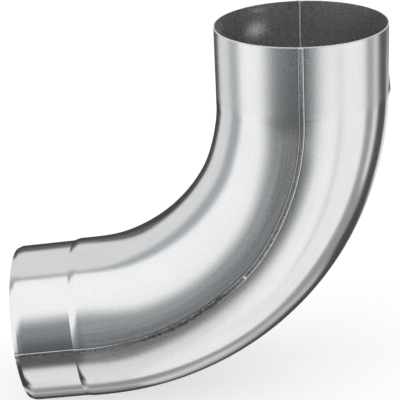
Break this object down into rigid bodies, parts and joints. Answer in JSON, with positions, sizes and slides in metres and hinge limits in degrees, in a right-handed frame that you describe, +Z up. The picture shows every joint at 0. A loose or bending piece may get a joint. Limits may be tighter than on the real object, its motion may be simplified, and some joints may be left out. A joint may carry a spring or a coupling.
{
  "type": "downspout elbow",
  "caption": "Round sheet-metal downspout elbow with a long-radius bend, a raised folded seam along each side, a widened socket at the top and a stepped-in spigot with a lead-in at the outlet.",
  "frame": {"origin": "on the socket's axis, at the ledge where the end of the pipe above comes to rest", "axes": "+Z up along the socket's axis and out of its mouth; the spigot leaves towards -X, five degrees below level; Y runs across the elbow from seam to seam"},
  "size_m": [0.2311, 0.1032, 0.2372],
  "materials": {
    "zinc_coated_sheet": "bright rolled zinc coating with a fine grain along the pipe"
  },
  "bodies": {
    "root": {"heel_shell": "zinc_coated_sheet", "throat_shell": "zinc_coated_sheet"}
  },
  "joints": []
}
